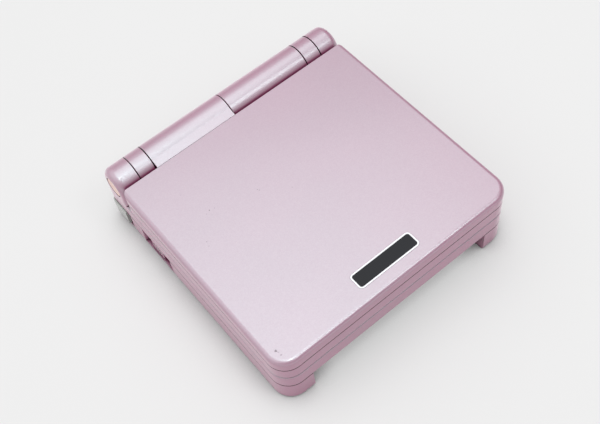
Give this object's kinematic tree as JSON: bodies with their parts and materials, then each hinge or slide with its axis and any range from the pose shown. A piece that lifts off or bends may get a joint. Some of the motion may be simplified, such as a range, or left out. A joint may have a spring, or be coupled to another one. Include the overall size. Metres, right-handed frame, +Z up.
{
  "type": "clamshell handheld game console",
  "caption": "Folding handheld game console: a flat lid with a screen, hinged along one edge on a round barrel to a base with keys, sliders and an open card bay.",
  "frame": {"origin": "on the table under the middle of the closed console", "axes": "+X to the player's right along the hinge, +Y from the front edge to the hinge, +Z up"},
  "size_m": [0.083, 0.0846, 0.0243],
  "materials": {
    "shell_paint": "pearl paint on moulded ABS, satin with fine flake",
    "plug_plastic": "moulded, satin",
    "lens_clear": "clear moulded acrylic, polished",
    "white_plastic": "moulded",
    "lcd_glass": "dark panel glass",
    "steel": "zinc plated",
    "foam": "closed cell foam",
    "rubber_grey": "moulded silicone rubber",
    "badge_rim": "white printed rim under clear coat",
    "badge_face": "dark slate print under clear coat",
    "ribbon": "polyimide film",
    "board": "solder resist",
    "black_plastic": "moulded",
    "contact_metal": "gold plated bronze",
    "battery_wrap": "moulded case",
    "key_plastic": "silver grey, satin",
    "shoulder_plastic": "smoke grey, slightly translucent"
  },
  "bodies": {
    "base": {"base_top": "shell_paint", "base_bottom": "shell_paint", "hinge_center_cover": "shell_paint", "battery_cover": "shell_paint", "hinge_end_plugs": "plug_plastic", "led_windows": "lens_clear", "case_screws": "steel", "battery_cover_screw": "steel", "flex_tail": "ribbon", "hinge_pin_left": "steel", "hinge_shaft_right": "steel", "main_board": "board", "board_chips": "black_plastic", "cartridge_connector": "black_plastic", "connector_contacts": "contact_metal", "battery_pack": "battery_wrap", "battery_contacts": "contact_metal", "speaker": "black_plastic", "dpad_membrane": "rubber_grey", "action_membrane": "rubber_grey", "menu_membrane": "rubber_grey", "light_membrane": "rubber_grey", "power_switch": "black_plastic", "volume_control": "black_plastic", "link_port": "black_plastic", "charge_port": "black_plastic", "shoulder_pins": "steel", "shoulder_springs": "steel", "shoulder_switches": "black_plastic"},
    "lid": {"lid_cover": "shell_paint", "lid_frame": "shell_paint", "screen_lens": "lens_clear", "light_guide": "lens_clear", "light_strip": "white_plastic", "lcd_panel": "lcd_glass", "lcd_bracket": "steel", "screen_gasket": "foam", "lid_screws": "steel", "lid_screw_pads": "rubber_grey", "badge_frame": "badge_rim", "badge_face": "badge_face", "hinge_cable_cover": "shell_paint", "hinge_collar_left": "shell_paint", "hinge_collar_right": "shell_paint", "display_flex": "ribbon", "hinge_clutch": "steel"},
    "dpad": {"dpad": "key_plastic"},
    "dpad_pivot": {"dpad_pivot": "rubber_grey"},
    "button_a": {"button_a": "key_plastic"},
    "button_b": {"button_b": "key_plastic"},
    "start_button": {"start_button": "key_plastic"},
    "select_button": {"select_button": "key_plastic"},
    "light_button": {"light_button": "key_plastic"},
    "power_slider": {"power_slider": "shell_paint"},
    "volume_slider": {"volume_slider": "shell_paint"},
    "shoulder_button_right": {"shoulder_button_right": "shoulder_plastic"},
    "shoulder_button_left": {"shoulder_button_left": "shoulder_plastic"}
  },
  "joints": [
    {"name": "lid_hinge", "type": "hinge", "parent": "base", "child": "lid", "pos_m": [0, 0.0365, 0.0185], "axis": [-1, 0, 0], "range_deg": [0, 165]},
    {"name": "dpad_rock_up_down", "type": "hinge", "parent": "base", "child": "dpad_pivot", "pos_m": [-0.026, 0.003, 0.01125], "axis": [1, 0, 0], "range_deg": [-3, 3], "stiffness_Nm_per_rad": 0.05},
    {"name": "dpad_rock_left_right", "type": "hinge", "parent": "dpad_pivot", "child": "dpad", "pos_m": [-0.026, 0.003, 0.01125], "axis": [0, 1, 0], "range_deg": [-3, 3], "stiffness_Nm_per_rad": 0.05},
    {"name": "button_a_press", "type": "slide", "parent": "base", "child": "button_a", "axis": [0, 0, -1], "range_m": [0, 0.00065], "stiffness_N_per_m": 250},
    {"name": "button_b_press", "type": "slide", "parent": "base", "child": "button_b", "axis": [0, 0, -1], "range_m": [0, 0.00065], "stiffness_N_per_m": 250},
    {"name": "start_button_press", "type": "slide", "parent": "base", "child": "start_button", "axis": [0, 0, -1], "range_m": [0, 0.00065], "stiffness_N_per_m": 200},
    {"name": "select_button_press", "type": "slide", "parent": "base", "child": "select_button", "axis": [0, 0, -1], "range_m": [0, 0.00065], "stiffness_N_per_m": 200},
    {"name": "light_button_press", "type": "slide", "parent": "base", "child": "light_button", "axis": [0, 0, -1], "range_m": [0, 0.00065], "stiffness_N_per_m": 200},
    {"name": "power_slide", "type": "slide", "parent": "base", "child": "power_slider", "axis": [0, 1, 0], "range_m": [0, 0.003]},
    {"name": "volume_slide", "type": "slide", "parent": "base", "child": "volume_slider", "axis": [0, 1, 0], "range_m": [-0.0028, 0.0028]},
    {"name": "shoulder_right_press", "type": "hinge", "parent": "base", "child": "shoulder_button_right", "pos_m": [0.0236, 0.0401, 0.005], "axis": [0, 0, -1], "range_deg": [0, 3.2], "stiffness_Nm_per_rad": 0.08},
    {"name": "shoulder_left_press", "type": "hinge", "parent": "base", "child": "shoulder_button_left", "pos_m": [-0.0236, 0.0401, 0.005], "axis": [0, 0, 1], "range_deg": [0, 3.2], "stiffness_Nm_per_rad": 0.08}
  ]
}
